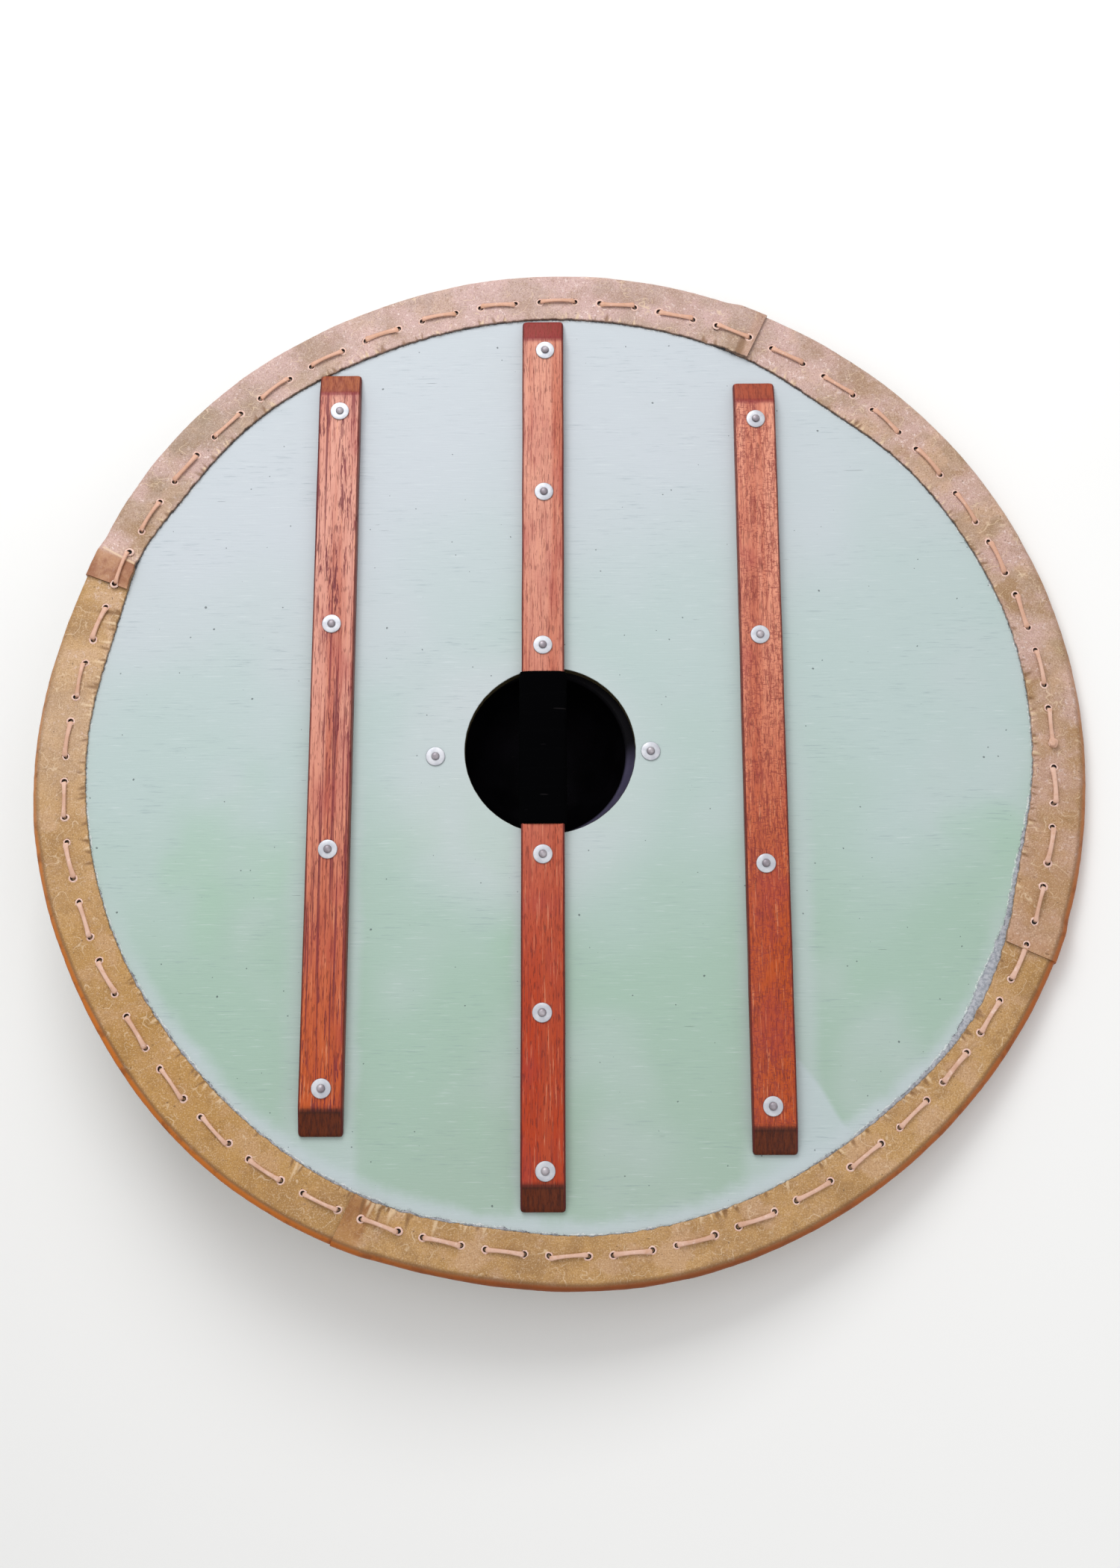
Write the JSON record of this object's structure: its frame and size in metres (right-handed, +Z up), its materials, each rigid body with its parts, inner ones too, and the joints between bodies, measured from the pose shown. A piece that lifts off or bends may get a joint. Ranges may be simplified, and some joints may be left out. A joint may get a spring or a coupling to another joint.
{
  "type": "round shield",
  "caption": "Round plywood shield lying face down: red-wood battens and a bound grip cross the hand hole, behind an iron boss; laced leather edge.",
  "frame": {"origin": "on the ground, under the middle of the shield's box as it lies", "axes": "+Z up. The shield lies on its face, back upwards, leaning 7.8 degrees so that its +X edge and its boss touch the ground. +Y runs along the battens, towards the end that is up in the picture."},
  "size_m": [0.8624, 0.8682, 0.1303],
  "materials": {
    "painted_board": "thin matt grey-green paint over plywood",
    "red_wood": "oiled",
    "black_binding": "matt black binding",
    "black_iron": "blackened sheet iron",
    "rawhide": "dry rawhide",
    "thong": "rawhide thong",
    "zinc": "bright zinc"
  },
  "bodies": {
    "root": {"batten_grip": "red_wood", "batten_left": "red_wood", "batten_right": "red_wood", "board": "painted_board", "boss": "black_iron", "grip_wrap": "black_binding", "lacing": "thong", "rim_strip_bottom": "rawhide", "rim_strip_left": "rawhide", "rim_strip_right": "rawhide", "rim_strip_top": "rawhide", "rivet_boss_left": "zinc", "rivet_boss_right": "zinc", "rivet_grip_1": "zinc", "rivet_grip_2": "zinc", "rivet_grip_3": "zinc", "rivet_grip_4": "zinc", "rivet_grip_5": "zinc", "rivet_grip_6": "zinc", "rivet_left_1": "zinc", "rivet_left_2": "zinc", "rivet_left_3": "zinc", "rivet_left_4": "zinc", "rivet_right_1": "zinc", "rivet_right_2": "zinc", "rivet_right_3": "zinc", "rivet_right_4": "zinc", "washer_boss_left": "zinc", "washer_boss_right": "zinc", "washer_grip_1": "zinc", "washer_grip_2": "zinc", "washer_grip_3": "zinc", "washer_grip_4": "zinc", "washer_grip_5": "zinc", "washer_grip_6": "zinc", "washer_left_1": "zinc", "washer_left_2": "zinc", "washer_left_3": "zinc", "washer_left_4": "zinc", "washer_right_1": "zinc", "washer_right_2": "zinc", "washer_right_3": "zinc", "washer_right_4": "zinc"}
  },
  "joints": []
}
